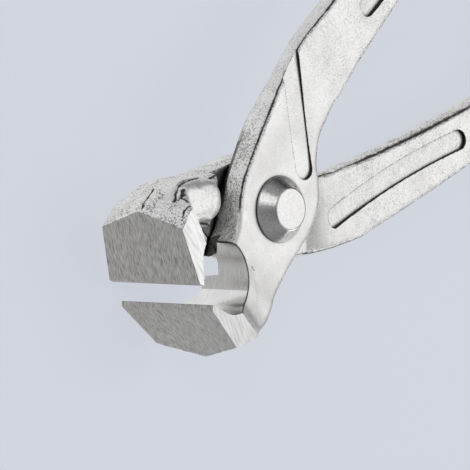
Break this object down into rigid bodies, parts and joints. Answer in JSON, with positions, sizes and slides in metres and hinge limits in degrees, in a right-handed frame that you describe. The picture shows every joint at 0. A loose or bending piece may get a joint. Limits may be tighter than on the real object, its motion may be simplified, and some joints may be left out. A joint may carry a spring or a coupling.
{
  "type": "end cutting nippers",
  "caption": "Forged end cutting nippers: two crossed levers on a rivet, wide bevelled jaws with a round space behind the edges, and dipped plastic grips.",
  "frame": {"origin": "middle of the bounding box in X and Y, at the height of the jaw ends that the tool lies on", "axes": "+X along the tool from the grips toward the jaws, +Z along the rivet, +Y toward the lower jaw's own side as seen from the front plate"},
  "size_m": [0.219, 0.0774, 0.024],
  "materials": {
    "lever_steel": "forged and zinc plated, ground grey on the cutting faces",
    "rivet_steel": "turned steel",
    "grip_plastic": "dipped soft plastic, satin"
  },
  "bodies": {
    "front_half": {"lever_front": "lever_steel", "rivet": "rivet_steel", "grip_front": "grip_plastic"},
    "back_half": {"lever_back": "lever_steel", "grip_back": "grip_plastic"}
  },
  "joints": [
    {"name": "rivet_pivot", "type": "hinge", "parent": "front_half", "child": "back_half", "pos_m": [0.08066, 0, 0.012], "axis": [0, 0, -1], "range_deg": [-8.6, 19.3]}
  ]
}
